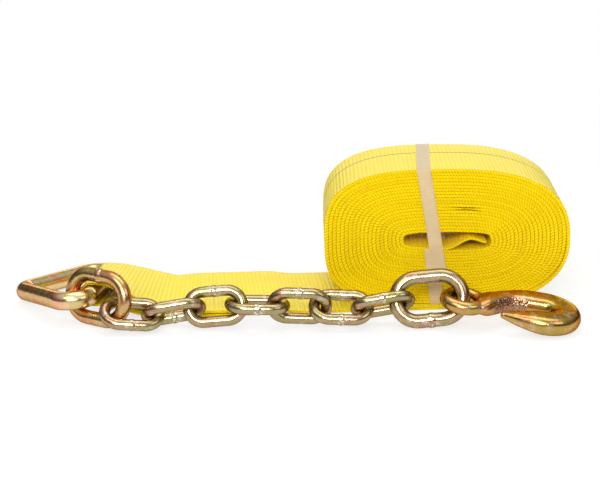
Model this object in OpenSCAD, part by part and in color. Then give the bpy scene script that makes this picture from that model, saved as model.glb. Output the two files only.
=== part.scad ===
// Rolled cargo strap with a delta ring, a short welded chain tail and an eye slip hook.
// Millimetres. X runs along the strap to the right, Y away from the viewer, Z up.
// The floor is z = 0. The origin is on the floor under the middle of the roll.

/* [Webbing] */
// Width of the webbing
web_w = 101.6; // [80:0.1:104]
// Thickness of the webbing
web_t = 2.0; // [1.6:0.05:2.1]
// Overall length of the flattened roll
roll_l = 212.4; // [206:0.2:240]
// Overall height of the flattened roll
roll_h = 122.8; // [121:0.2:140]
// Number of turns in the roll
turns = 20; // [12:1:20]
// Length of the open slit in the middle of the roll
core_l = 80; // [60:1:82]
// Height of the open slit in the middle of the roll
core_h = 13; // [10:0.5:14]
// Length of the straight tail from the roll to the sewn eye
tail_l = 153.5; // [140:0.5:200]
// Length of the two sewn layers between the ring and the tail
sewn_l = 150; // [120:1:180]

/* [Band] */
// Width of the strapping band round the roll
band_w = 12; // [8:0.5:16]
// Thickness of the strapping band
band_t = 0.7; // [0.5:0.05:0.8]

/* [Delta ring] */
// Bar diameter of the ring
ring_d = 16; // [12:0.5:17]
// Straight length of the ring's base, which carries the webbing
ring_base = 104; // [104:0.5:116]
// Centre line radius of the ring's three bends
ring_bend = 14; // [13:0.5:18]
// Centre line height of the triangle from base to apex
ring_height = 66.3; // [60:0.1:85]

/* [Coupling links] */
// Bar diameter of the two large coupling links
coup_d = 12; // [10:0.5:12.5]
// Inside length of a coupling link
coup_l = 45; // [44:0.5:56]
// Inside width of a coupling link
coup_w = 25; // [24:0.5:30]

/* [Chain] */
// Wire diameter of the chain
chain_d = 9.5; // [8:0.25:10.25]
// Inside length (pitch) of a chain link
chain_l = 36.5; // [35:0.25:42]
// Inside width of a chain link
chain_w = 16; // [15.5:0.5:20]
// How far a weld stands out round the wire
weld_rise = 0.5; // [0.2:0.1:0.6]

/* [Hook] */
// Bar diameter of the hook's eye
eye_d = 12; // [10:0.5:13]
// Hole diameter of the hook's eye
eye_hole = 17.5; // [17:0.5:22]
// Distance from the eye's centre to the middle of the bowl
hook_reach = 67.5; // [62:0.5:90]
// Centre line radius of the bowl
bowl_r = 19.5; // [17:0.5:26]
// Width of the forging in the bowl
bowl_d = 25; // [18:0.5:26]
// Thickness of the forging
hook_t = 16.8; // [13:0.2:17.4]
// Diameter of the rounded point
tip_d = 5.6; // [4:0.2:9]

/* [Hidden] */
$fn = 48;
// running clearance between linked pieces, and clearance of pieces that lie on each other
gap = 0.35;
seat = 0.3;

webbing_yellow = [0.98, 0.80, 0.05];
zinc_gold = [0.80, 0.62, 0.33];
zinc_pale = [0.78, 0.72, 0.58];
band_beige = [0.80, 0.72, 0.58];

// turning helpers: a pose is [yaw, pitch up, roll]
function turn_z(a) = [[cos(a), -sin(a), 0], [sin(a), cos(a), 0], [0, 0, 1]];
function turn_y(a) = [[cos(a), 0, -sin(a)], [0, 1, 0], [sin(a), 0, cos(a)]];
function turn_x(a) = [[1, 0, 0], [0, cos(a), -sin(a)], [0, sin(a), cos(a)]];
function turned(p) = turn_z(p[0]) * turn_y(p[1]) * turn_x(p[2]);
function along(p) = turned(p) * [1, 0, 0];
function across(p) = turned(p) * [0, 1, 0];
function unit(v) = v / norm(v);
function ease(t) = t <= 0 ? 0 : t >= 1 ? 1 : t * t * (3 - 2 * t);
function mix(a, b, t) = a * (1 - t) + b * t;

module placed(at, pose) {
    translate(at)
        rotate([0, 0, pose[0]])
            rotate([0, -pose[1], 0])
                rotate([pose[2], 0, 0])
                    children();
}

// delta ring: its base bar lies on the ring's own y axis, the apex points to -x
ring_pose = [-3.5, 5.5, -5.5];
ring_y = -40;
ring_lift = 0.4;
apex_x = ring_height - ring_bend;
ring_up = [0, 0, 1] * turned(ring_pose);
ring_corners = [[-ring_bend, ring_base / 2, 0], [-ring_bend, -ring_base / 2, 0], [-apex_x, 0, 0]];
ring_drop = max([for (c = ring_corners) -(ring_up * c)])
    + ring_bend * norm([ring_up[0], ring_up[1]]);
ring_at = [-tail_l - sewn_l, ring_y, ring_drop + ring_d / 2 + ring_lift];
function from_ring(p) = ring_at + turned(ring_pose) * p;

// left coupling link: lies on the ring's near bend, a little slack in both directions
coup_a_pose = [-34, 0, 80];
coup_slack = [1.8, 2.05];
bend_turn = 25;
bend_local = [-ring_bend + ring_bend * cos(bend_turn), -ring_base / 2 - ring_bend * sin(bend_turn), 0];
bend_point = from_ring(bend_local);
coup_a_at = bend_point + along(coup_a_pose) * (coup_l / 2 - ring_d / 2 - coup_slack[0])
    + across(coup_a_pose) * (coup_w / 2 - ring_d / 2 - coup_slack[1]);

// chain: yaw, pitch and roll of each link as it lies, the last is the right coupling link
link_pose = [[6, -5, 30], [6.5, 8, -41], [-1.5, 5.5, 71], [3, -2, 0], [1.5, -2.5, 107], [0.5, -2, 37],
    [4, 9, -41], [1, 5.5, 71]];
link_slack = 0.65;
chain_half = (chain_l + chain_d) / 2;
coup_half = (coup_l + coup_d) / 2;
function half_of(i) = i == 7 ? coup_half : chain_half;
function bar_of(i) = i == 7 ? coup_d : chain_d;

// link 1 rides on the lower front of the left coupling link's crown
crown_turn = -48;
crown_side = 50;
link_1_slack = 2.5;
crown_a = coup_a_at + along(coup_a_pose) * (coup_l - coup_w) / 2;
crown_dir = cos(crown_turn) * along(coup_a_pose) + sin(crown_turn) * across(coup_a_pose);
link_1_bar = crown_a + ((coup_w - chain_d) / 2 - gap - link_1_slack) * crown_dir;
link_1_back = -cos(crown_side) * along(link_pose[0]) + sin(crown_side) * across(link_pose[0]);
link_1_at = link_1_bar - (chain_w + chain_d) / 2 * link_1_back
    + along(link_pose[0]) * (chain_l - chain_w) / 2;

function hung(at, i) = at + along(link_pose[i - 1]) * half_of(i - 1)
    - ((bar_of(i - 1) + bar_of(i)) / 2 + gap + link_slack)
        * unit(along(link_pose[i - 1]) + along(link_pose[i]))
    + along(link_pose[i]) * half_of(i);
function link_at(i) = i == 0 ? link_1_at : hung(link_at(i - 1), i);

// hook: its eye hangs in the right coupling link, its own plane is x-y, the bowl opens to -x
hook_pose = [-5, -8, 6.5];
hook_turn = -16;
hook_side = 0;
hook_slack = 1.4;
eye_r = (eye_hole + eye_d) / 2;
coup_b_pose = link_pose[7];
crown_b = link_at(7) + along(coup_b_pose) * (coup_l - coup_w) / 2;
hook_dir = cos(hook_turn) * along(coup_b_pose) + sin(hook_turn) * across(coup_b_pose);
hook_bar = crown_b + ((coup_w - eye_d) / 2 - gap - hook_slack) * hook_dir;
hook_at = hook_bar + eye_r * (cos(hook_side) * along(hook_pose) + sin(hook_side) * across(hook_pose));

// forging: a broad shoulder leaves the eye, the far leg flares out to the bowl, the near leg is the point
shank_n = 20;
bowl_n = 16;
point_n = 12;
section_n = 3.4;
point_taper = 1.5;
shank_x = eye_r * 0.8;
shoulder_l = (hook_reach - eye_r) * 0.56;
flare_l = (hook_reach - shank_x) * 0.85;
point_l = bowl_r * 1.72;
point_in = bowl_r * 0.13;
neck_l = eye_r * 0.7;
function outer_y(x) = mix(eye_r * 1.05, bowl_r + bowl_d / 2, ease((x - shank_x) / flare_l));
function inner_y(x) = mix(-eye_r, bowl_r - bowl_d / 2, ease((x - eye_r) / shoulder_l));
// each station: [middle x, middle y, turn of the section, width, thickness]
function shank(x) = [x, (outer_y(x) + inner_y(x)) / 2, 0, outer_y(x) - inner_y(x),
    mix(eye_d, hook_t, ease((x - shank_x) / neck_l))];
function bowl(a) = [hook_reach + bowl_r * sin(a), bowl_r * cos(a), a, bowl_d, hook_t];
function point(t) = [hook_reach - point_l * t, -bowl_r + point_in * pow(t, 1.7), 180,
    mix(bowl_d, tip_d, pow(t, point_taper)), mix(hook_t, tip_d, pow(t, point_taper))];
hook_line = concat([for (i = [0:shank_n]) shank(mix(shank_x, hook_reach, i / shank_n))],
    [for (i = [1:bowl_n]) bowl(180 * i / bowl_n)],
    [for (i = [1:point_n]) point(i / point_n)]);
hook_n = len(hook_line);
hook_sides = 20;
function squarish(a) = pow(pow(abs(cos(a)), section_n) + pow(abs(sin(a)), section_n), -1 / section_n);
function hook_rim(q, a) = [q[0], q[1], 0]
    + squarish(a) / 2 * (q[3] * cos(a) * [sin(q[2]), cos(q[2]), 0] + q[4] * sin(a) * [0, 0, 1]);

// one wire link in its own plane, long axis on x, with a weld on one leg
module wire_link(inside_l, inside_w, d, weld_side) {
    leg = inside_l - inside_w;
    arc = (inside_w + d) / 2;
    for (side = [-1, 1]) {
        translate([-leg / 2, side * arc, 0])
            rotate([0, 90, 0])
                cylinder(d = d, h = leg);
        translate([side * leg / 2, 0, 0])
            rotate([0, 0, -90 * side])
                rotate_extrude(angle = 180)
                    translate([arc, 0])
                        circle(d = d);
    }
    translate([0, weld_side * arc, 0])
        rotate([0, 90, 0])
            cylinder(d = d + 2 * weld_rise, h = d * 0.45, center = true);
}

module chain_link(i, weld_side) {
    color(zinc_pale)
        placed(link_at(i), link_pose[i])
            wire_link(chain_l, chain_w, chain_d, weld_side);
}

// ring centre line: three bends joined by straight bars, as one closed loop
leg_slope = atan2(ring_base / 2, apex_x - ring_bend);
ring_steps = 14;
ring_sides = 28;
function ring_bend_at(c, a) = c + ring_bend * [cos(a), sin(a), 0];
ring_bends = [[[-ring_bend, -ring_base / 2, 0], -90 - leg_slope, 0],
    [[-ring_bend, ring_base / 2, 0], 0, 90 + leg_slope],
    [[-apex_x, 0, 0], 90 + leg_slope, 270 - leg_slope]];
ring_line = [for (b = ring_bends) for (i = [0:ring_steps])
    let (a = mix(b[1], b[2], i / ring_steps))
    [ring_bend_at(b[0], a), [cos(a), sin(a), 0]]];

// round bar along a closed flat line of [point, outward direction]
module closed_bar(line, d, sides) {
    n = len(line);
    points = [for (q = line) for (k = [0:sides - 1])
        let (a = 360 * k / sides)
        q[0] + d / 2 * (q[1] * cos(a) + [0, 0, sin(a)])];
    faces = [for (i = [0:n - 1]) for (k = [0:sides - 1])
        let (a = i * sides + k, b = i * sides + (k + 1) % sides, m = n * sides)
        each [[a, b, (b + sides) % m], [a, (b + sides) % m, (a + sides) % m]]];
    polyhedron(points = points, faces = faces, convexity = 6);
}

module delta_ring() {
    color(zinc_gold)
        placed(ring_at, ring_pose)
            closed_bar(ring_line, ring_d, ring_sides);
}

module coupling_link_left() {
    color(zinc_gold)
        placed(coup_a_at, coup_a_pose)
            wire_link(coup_l, coup_w, coup_d, 1);
}

module chain_link_1() {
    chain_link(0, -1);
}

module chain_link_2() {
    chain_link(1, 1);
}

module chain_link_3() {
    chain_link(2, 1);
}

module chain_link_4() {
    chain_link(3, -1);
}

module chain_link_5() {
    chain_link(4, 1);
}

module chain_link_6() {
    chain_link(5, -1);
}

module chain_link_7() {
    chain_link(6, 1);
}

module coupling_link_right() {
    color(zinc_pale)
        placed(link_at(7), coup_b_pose)
            wire_link(coup_l, coup_w, coup_d, -1);
}

// skin over the forging's sections, closed at both ends
module hook_forging() {
    points = [for (q = hook_line) for (k = [0:hook_sides - 1]) hook_rim(q, 360 * k / hook_sides)];
    skin = [for (i = [0:hook_n - 2]) for (k = [0:hook_sides - 1])
        let (a = i * hook_sides + k, b = i * hook_sides + (k + 1) % hook_sides)
        each [[a, a + hook_sides, b + hook_sides], [a, b + hook_sides, b]]];
    first_cap = [for (k = [0:hook_sides - 1]) k];
    last_cap = [for (k = [0:hook_sides - 1]) hook_n * hook_sides - 1 - k];
    polyhedron(points = points, faces = concat(skin, [first_cap], [last_cap]), convexity = 8);
}

module slip_hook() {
    color(zinc_gold)
        placed(hook_at, hook_pose) {
            rotate_extrude()
                translate([eye_r, 0])
                    circle(d = eye_d);
            hook_forging();
            translate([hook_line[hook_n - 1][0], hook_line[hook_n - 1][1], 0])
                scale(tip_d * 0.52)
                    sphere(1);
        }
}

// roll: the webbing spirals inward from the floor, counter-clockwise as seen by the viewer
core_b = (core_h + web_t) / 2;
core_a = (core_l + web_t) / 2;
// half axes at the outer end, so that the finished spiral has the stated length and height
roll_a = ((roll_l - web_t) * turns - core_a) / (2 * turns - 1);
roll_b = ((roll_h - web_t) * 2 * turns - core_b) / (4 * turns - 1);
core_drop = 2.5;
foot_sink = 0.5;
roll_steps = 28;
leaf_steps = 20;
function fullness(a) = 2.55 + 0.95 * pow(max(0, cos(a - 225)), 2) - 0.2 * pow(max(0, cos(a - 315)), 2);
function swell(a) = pow(pow(abs(cos(a)), fullness(a)) + pow(abs(sin(a)), fullness(a)), -1 / fullness(a));
function outer_turn(a) = [roll_a * cos(a), roll_b * sin(a)] * swell(a);
function slit_side(q) = sign(q) * sin(90 * min(1, abs(q) / 0.55));
function inner_turn(a) = [(core_a - core_b) * slit_side(cos(a)) + core_b * cos(a),
    core_b * sin(a) - core_drop];
// s counts turns from the outside
function spiral(s) = mix(outer_turn(360 * s - 90), inner_turn(360 * s - 90), s / turns)
    + [0, roll_b + web_t / 2 - foot_sink * (1 - ease(s / 0.12))];
function wound(s) = [spiral(s)[0], max(spiral(s)[1], web_t / 2)];
// the loose inner end crosses the slit in a shallow S
leaf_rise = 1;
leaf_start = wound(turns);
leaf_end = [core_a * 0.88, leaf_start[1] + core_b + leaf_rise];
function leaf(t) = [mix(leaf_start[0], leaf_end[0], t), mix(leaf_start[1], leaf_end[1], ease(t))];
// the wound part starts just right of the middle, where the flat tail ends
roll_start = 0.4;
roll_line = concat([wound(roll_start / roll_steps)],
    [for (i = [1:turns * roll_steps]) wound(i / roll_steps)],
    [for (i = [1:leaf_steps]) leaf(i / leaf_steps)]);
roll_n = len(roll_line);
function roll_tangent(i) = unit(roll_line[min(i + 1, roll_n - 1)] - roll_line[max(i - 1, 0)]);
function roll_side(i, k) = roll_line[i] + k * web_t / 2 * [-roll_tangent(i)[1], roll_tangent(i)[0]];
// least distance between neighbouring turns, measured from points to the next turn's segments
function share(p, a, b) = max(0, min(1, ((p - a) * (b - a)) / ((b - a) * (b - a))));
function to_segment(p, a, b) = norm(p - a - share(p, a, b) * (b - a));
least_gap = min([for (i = [0:roll_n - 1 - roll_steps]) for (k = [-6:6])
    let (j = i + roll_steps + k)
    if (j + 1 < roll_n) to_segment(roll_line[i], roll_line[j], roll_line[j + 1])]) - web_t;
echo(least_gap = least_gap);

module strap_roll() {
    color(webbing_yellow)
        translate([0, web_w / 2, 0])
            rotate([90, 0, 0])
                linear_extrude(web_w)
                    polygon(concat([for (i = [0:roll_n - 1]) roll_side(i, 1)],
                        [for (i = [0:roll_n - 1]) roll_side(roll_n - 1 - i, -1)]));
}

// tail: flat on the floor, stepping up at the left onto the sewn lower layer
layer_gap = 0.8;
layer_z = web_t + layer_gap;
step_l = 26;
step_n = 10;
band_x = -9;
groove_play = [1, 0.2];
groove_w = band_w + groove_play[0];
groove_h = band_t + groove_play[1];
tail_left = -tail_l + seat / 2;
tail_right = roll_line[0][0] - seat;
function tail_rise(t) = [tail_left + step_l * t, layer_z * (1 - ease(t))];

module strap_tail() {
    under = [for (i = [0:step_n]) tail_rise(i / step_n)];
    color(webbing_yellow)
        translate([0, web_w / 2, 0])
            rotate([90, 0, 0])
                linear_extrude(web_w)
                    polygon(concat(under,
                        [[band_x - groove_w / 2, 0], [band_x - groove_w / 2, groove_h],
                            [band_x + groove_w / 2, groove_h], [band_x + groove_w / 2, 0],
                            [tail_right, 0], [tail_right, web_t]],
                        [for (i = [0:step_n]) under[step_n - i] + [0, web_t]]));
}

// sewn eye: two layers run from the tail to a loop round the ring's base bar
eye_play = 0.15;
eye_mid = ring_d / 2 + seat + eye_play + web_t / 2;
// lengths from the ring over which the layers level out, fall and widen
level_l = 70;
lower_l = 50;
upper_l = 80;
widen_l = 60;
lower_short = 4;
upper_n = 24;
loop_n = 14;
lower_n = 24;
bar_dir = across(ring_pose);
function lean(a) = 1 - ease(a / level_l);
function drift(a) = 1 - ease(a / sewn_l);
function eye_across(a) = unit([bar_dir[0] * drift(a), bar_dir[1] * drift(a) + 1 - drift(a),
    bar_dir[2] * lean(a)]);
function edge_lift(a) = abs(eye_across(a)[2]) * web_w / 2;
// the near edge is drawn in at the ring, to leave room for the coupling link
coup_room = 2;
eye_near = min(web_w / 2, ring_base / 2 - coup_d / 2 - coup_room);
function near_half(a) = mix(eye_near, web_w / 2, ease(a / widen_l));
lower_spare = ring_at[2] - eye_mid - web_t / 2 - edge_lift(0);
upper_end = layer_z + web_t / 2;
function lower_z(a) = web_t / 2 + edge_lift(a) + lower_spare * (1 - ease(a / lower_l));
function upper_z(a) = max(lower_z(a) + layer_z,
    mix(upper_end, ring_at[2] + eye_mid, 1 - ease(a / upper_l)));
function eye_at(a, z) = [ring_at[0] + a, ring_at[1] * drift(a), z];
function loop_at(t) = ring_at + eye_mid * [-sin(t), 0, cos(t)];
// each station: [distance from the ring, middle point]
upper_line = [for (i = [0:upper_n - 1])
    let (a = (sewn_l - seat / 2) * (1 - i / upper_n))
    [a, eye_at(a, upper_z(a))]];
loop_line = [for (i = [0:loop_n]) [0, loop_at(180 * i / loop_n)]];
lower_line = [for (i = [1:lower_n])
    let (a = (sewn_l - lower_short) * i / lower_n)
    [a, eye_at(a, lower_z(a))]];
eye_line = concat(upper_line, loop_line, lower_line);
eye_n = len(eye_line);
function eye_tangent(i) = unit(eye_line[min(i + 1, eye_n - 1)][1] - eye_line[max(i - 1, 0)][1]);
function eye_normal(i) = unit(cross(eye_tangent(i), eye_across(eye_line[i][0])));
function eye_half(i, side) = side < 0 ? -near_half(eye_line[i][0]) : web_w / 2;

module strap_eye() {
    points = [for (i = [0:eye_n - 1]) for (q = [[-1, -1], [1, -1], [1, 1], [-1, 1]])
        eye_line[i][1] + eye_across(eye_line[i][0]) * eye_half(i, q[0])
            + eye_normal(i) * q[1] * web_t / 2];
    skin = [for (i = [0:eye_n - 2]) for (k = [0:3])
        let (a = i * 4 + k, b = i * 4 + (k + 1) % 4)
        each [[a, b + 4, b], [a, a + 4, b + 4]]];
    last_cap = [for (k = [0:3]) eye_n * 4 - 1 - k];
    color(webbing_yellow)
        polyhedron(points = points, faces = concat(skin, [[0, 1, 2, 3]], [last_cap]), convexity = 6);
}

// strapping band: a loop round the roll, leaning on the two faces, lapped low on the near face
band_top = -18;
band_floor = 0.05;
band_high = roll_h + seat + band_t;
lap_low = 31;
lap_high = 47;
lap_shift = -4.5;
lap_weld = 0.05;
band_y = web_w / 2 + seat;
function band_lean(z) = mix(band_x, band_top, z / band_high);

module band_strip(low, high, shift) {
    rotate([90, 0, 0])
        linear_extrude(band_t)
            translate([shift, 0])
                polygon([[band_lean(low) - band_w / 2, low], [band_lean(low) + band_w / 2, low],
                    [band_lean(high) + band_w / 2, high], [band_lean(high) - band_w / 2, high]]);
}

module roll_band() {
    across_l = 2 * (band_y + band_t);
    color(band_beige) {
        translate([0, -band_y, 0])
            band_strip(band_floor, band_high, 0);
        translate([0, band_y + band_t, 0])
            band_strip(band_floor, band_high, 0);
        translate([0, -band_y - band_t + lap_weld, 0])
            band_strip(lap_low, lap_high, lap_shift);
        translate([band_x - band_w / 2, -across_l / 2, band_floor])
            cube([band_w, across_l, band_t]);
        translate([band_top - band_w / 2, -across_l / 2, roll_h + seat])
            cube([band_w, across_l, band_t]);
    }
}

strap_roll();
strap_tail();
strap_eye();
roll_band();
delta_ring();
coupling_link_left();
chain_link_1();
chain_link_2();
chain_link_3();
chain_link_4();
chain_link_5();
chain_link_6();
chain_link_7();
coupling_link_right();
slip_hook();
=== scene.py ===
"""Rolled cargo strap with a delta ring, a welded chain tail and an eye slip hook.

The webbing is one continuous ribbon, from the sewn eye through the flat tail into the roll.
The hardware is swept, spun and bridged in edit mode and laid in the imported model's frame.
Every length is in metres.
"""

import math

import bmesh
import bpy
from bpy.props import FloatProperty, FloatVectorProperty, IntProperty, PointerProperty
from mathutils import Matrix, Vector


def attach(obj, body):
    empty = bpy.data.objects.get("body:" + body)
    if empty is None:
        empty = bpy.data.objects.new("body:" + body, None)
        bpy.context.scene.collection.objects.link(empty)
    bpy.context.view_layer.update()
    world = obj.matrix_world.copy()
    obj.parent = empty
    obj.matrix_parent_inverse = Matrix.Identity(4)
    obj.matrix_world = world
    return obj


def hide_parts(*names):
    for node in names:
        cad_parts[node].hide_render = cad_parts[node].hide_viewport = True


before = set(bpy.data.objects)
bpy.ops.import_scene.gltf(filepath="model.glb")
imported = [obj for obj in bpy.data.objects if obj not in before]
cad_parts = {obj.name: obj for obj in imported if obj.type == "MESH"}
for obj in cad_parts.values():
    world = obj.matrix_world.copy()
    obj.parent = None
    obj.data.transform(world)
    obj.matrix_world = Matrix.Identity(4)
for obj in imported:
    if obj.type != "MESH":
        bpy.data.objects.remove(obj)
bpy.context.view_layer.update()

bl_info = {
    "name": "Rolled Cargo Strap",
    "version": (1, 0, 0),
    "blender": (4, 5, 0),
    "location": "View3D > Sidebar > Cargo Strap",
    "description": "Builds a rolled cargo strap with its ring, chain and hook",
    "category": "Object",
}

MM = 0.001

# how each piece lies: yaw, pitch up and roll, in degrees
RING_POSE = (-3.5, 5.5, -5.5)
COUPLING_A_POSE = (-34, 0, 80)
LINK_POSES = ((6, -5, 30), (6.5, 8, -41), (-1.5, 5.5, 71), (3, -2, 0), (1.5, -2.5, 107), (0.5, -2, 37),
              (4, 9, -41))
COUPLING_B_POSE = (1, 5.5, 71)
HOOK_POSE = (-5, -8, 6.5)
# which leg of each chain link carries its weld
WELD_SIDES = (-1, 1, 1, -1, 1, -1, -1)
# a weld bead, out from its middle and back to it: (reach, growth of the bar's section)
WELD_END = 1.9
WELD_OUT = ((0.5, 1.012), (1.0, 0.97), (1.5, 0.952), (WELD_END, 1.0))
WELD_BACK = ((1.5, 1.0), (1.0, 1 / 0.952), (0.5, 1 / 0.97), (0.0, 1.0))

# spacing of the webbing's lengthwise yarns and of the band's cross ridges
YARN = 2.1 * MM
BAND_RIDGE = 2.1 * MM
# the tracer yarn's place and half width, as shares of the webbing's width
TRACER_PLACE, TRACER_HALF = 0.66, 0.0095
# the sewn eye and the tail are shorter than this run, so what lies beyond it is in the roll
ROLL_FROM = 1.0


def length_prop(name, description, default, low, high):
    return FloatProperty(name=name, description=description, default=default, min=low, max=high,
                         unit="LENGTH", precision=4)


def colour_prop(name, description, default):
    return FloatVectorProperty(name=name, description=description, default=default, size=3,
                               min=0.0, max=1.0, subtype="COLOR")


class StrapWebbingSettings(bpy.types.PropertyGroup):
    """Sizes and colours of the webbing and the band round it"""
    width: length_prop("Width", "Width of the webbing", 0.1016, 0.05, 0.15)
    thickness: length_prop("Thickness", "Thickness of the webbing", 0.002, 0.001, 0.004)
    roll_length: length_prop("Roll length", "Overall length of the flattened roll", 0.2124, 0.15, 0.3)
    roll_height: length_prop("Roll height", "Overall height of the flattened roll", 0.1228, 0.08, 0.2)
    turns: IntProperty(name="Turns", description="Turns in the roll", default=20, min=5, max=24)
    core_length: length_prop("Core length", "Length of the slit in the middle", 0.074, 0.03, 0.1)
    core_height: length_prop("Core height", "Height of the slit in the middle", 0.013, 0.005, 0.03)
    tail: length_prop("Tail", "Straight tail from the roll's middle to the sewn eye", 0.1535, 0.1, 0.3)
    sewn: length_prop("Sewn length", "Length of the two sewn layers", 0.15, 0.1, 0.2)
    rib: length_prop("Rib", "Spacing of the cross ribs in the weave", 0.0037, 0.001, 0.006)
    twist: length_prop("Twist", "Spacing of the twisted yarns on the edges", 0.0026, 0.001, 0.006)
    face: colour_prop("Face", "Crests of the ribs", (0.82, 0.672, 0.014))
    face_low: colour_prop("Face low", "Hollows between the ribs", (0.765, 0.59, 0.008))
    edge: colour_prop("Edge", "Crests of the edge yarns", (0.86, 0.655, 0.003))
    edge_low: colour_prop("Edge low", "Hollows between the edge yarns", (0.70, 0.465, 0.002))
    # painted light: the roll's inward face is coloured paler than its outer face, so that the inside of
    # the slit shows lit
    inner: colour_prop("Inner", "Crests of the roll's inward face", (0.99, 0.78, 0.015))
    inner_lit_low: colour_prop("Inner low", "Hollows of the roll's inward face", (0.96, 0.67, 0.008))
    # painted shade in the gaps between turns; the same colour also darkens some stretches at random
    seam: colour_prop("Seam", "Where one turn lies on the next", (0.44, 0.25, 0.002))
    tracer: colour_prop("Tracer", "Colour of the tracer yarn", (0.05, 0.04, 0.015))
    band: colour_prop("Band", "Colour of the strapping band", (0.72, 0.55, 0.31))
    band_width: length_prop("Band width", "Width of the strapping band", 0.012, 0.006, 0.02)


class StrapHardwareSettings(bpy.types.PropertyGroup):
    """Sizes and colours of the plated hardware"""
    ring_bar: length_prop("Ring bar", "Bar diameter of the delta ring", 0.016, 0.01, 0.02)
    ring_base: length_prop("Ring base", "Straight length of the ring's base", 0.104, 0.08, 0.13)
    ring_bend: length_prop("Ring bend", "Centre line radius of the ring's bends", 0.014, 0.01, 0.02)
    ring_height: length_prop("Ring height", "Centre line height from base to apex", 0.0663, 0.05, 0.09)
    coupling_bar: length_prop("Coupling bar", "Bar diameter of a coupling link", 0.012, 0.008, 0.014)
    coupling_length: length_prop("Coupling length", "Inside length of a coupling link", 0.045, 0.04, 0.06)
    coupling_width: length_prop("Coupling width", "Inside width of a coupling link", 0.025, 0.02, 0.03)
    chain_wire: length_prop("Chain wire", "Wire diameter of the chain", 0.0095, 0.006, 0.012)
    chain_length: length_prop("Chain pitch", "Inside length of a chain link", 0.0365, 0.03, 0.045)
    chain_width: length_prop("Chain width", "Inside width of a chain link", 0.016, 0.014, 0.02)
    hook_eye_bar: length_prop("Hook eye bar", "Bar diameter of the hook's eye", 0.012, 0.009, 0.014)
    hook_eye_hole: length_prop("Hook eye hole", "Hole of the hook's eye", 0.0175, 0.015, 0.022)
    hook_reach: length_prop("Hook reach", "Eye centre to the middle of the bowl", 0.0675, 0.05, 0.09)
    bowl_radius: length_prop("Bowl radius", "Centre line radius of the bowl", 0.0195, 0.017, 0.026)
    bowl_width: length_prop("Bowl width", "Width of the forging in the bowl", 0.025, 0.018, 0.026)
    hook_thickness: length_prop("Hook thickness", "Thickness of the forging", 0.0168, 0.013, 0.018)
    hook_tip: length_prop("Hook tip", "Diameter of the rounded point", 0.0056, 0.004, 0.009)
    gold: colour_prop("Gold plating", "Plating of the left coupling link", (0.64, 0.42, 0.19))
    rose: colour_prop("Rose plating", "Plating of the delta ring", (0.86, 0.61, 0.38))
    amber: colour_prop("Amber plating", "Plating of the hook", (0.56, 0.35, 0.13))
    pale: colour_prop("Pale plating", "Plating of the chain", (0.43, 0.335, 0.20))


class StrapStageSettings(bpy.types.PropertyGroup):
    """Camera and floor of the picture"""
    lens: FloatProperty(name="Lens", description="Focal length", default=114.3, min=20, max=300,
                        unit="CAMERA")
    tilt: FloatProperty(name="Tilt", description="How far the camera looks down",
                        default=math.radians(15.31), subtype="ANGLE")
    floor: colour_prop("Floor", "Colour of the floor", (0.93, 0.93, 0.93))


# geometry helpers

def ease(t):
    t = min(1.0, max(0.0, t))
    return t * t * (3 - 2 * t)


def mix(a, b, t):
    return a * (1 - t) + b * t


def turned(pose):
    yaw, pitch, roll = (math.radians(a) for a in pose)
    return (Matrix.Rotation(yaw, 3, "Z") @ Matrix.Rotation(-pitch, 3, "Y") @ Matrix.Rotation(roll, 3, "X"))


def along(pose):
    return turned(pose) @ Vector((1, 0, 0))


def across(pose):
    return turned(pose) @ Vector((0, 1, 0))


def eye_radius(h):
    """Centre line radius of the hook's eye."""
    return (h.hook_eye_hole + h.hook_eye_bar) / 2


def sway(t, seed):
    """A smooth, repeatable wander between about -1 and 1."""
    return (math.sin(t * 1.7 + seed) + math.sin(t * 3.1 + seed * 2.3) + math.sin(t * 5.3 + seed * 4.1)) / 3


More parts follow.
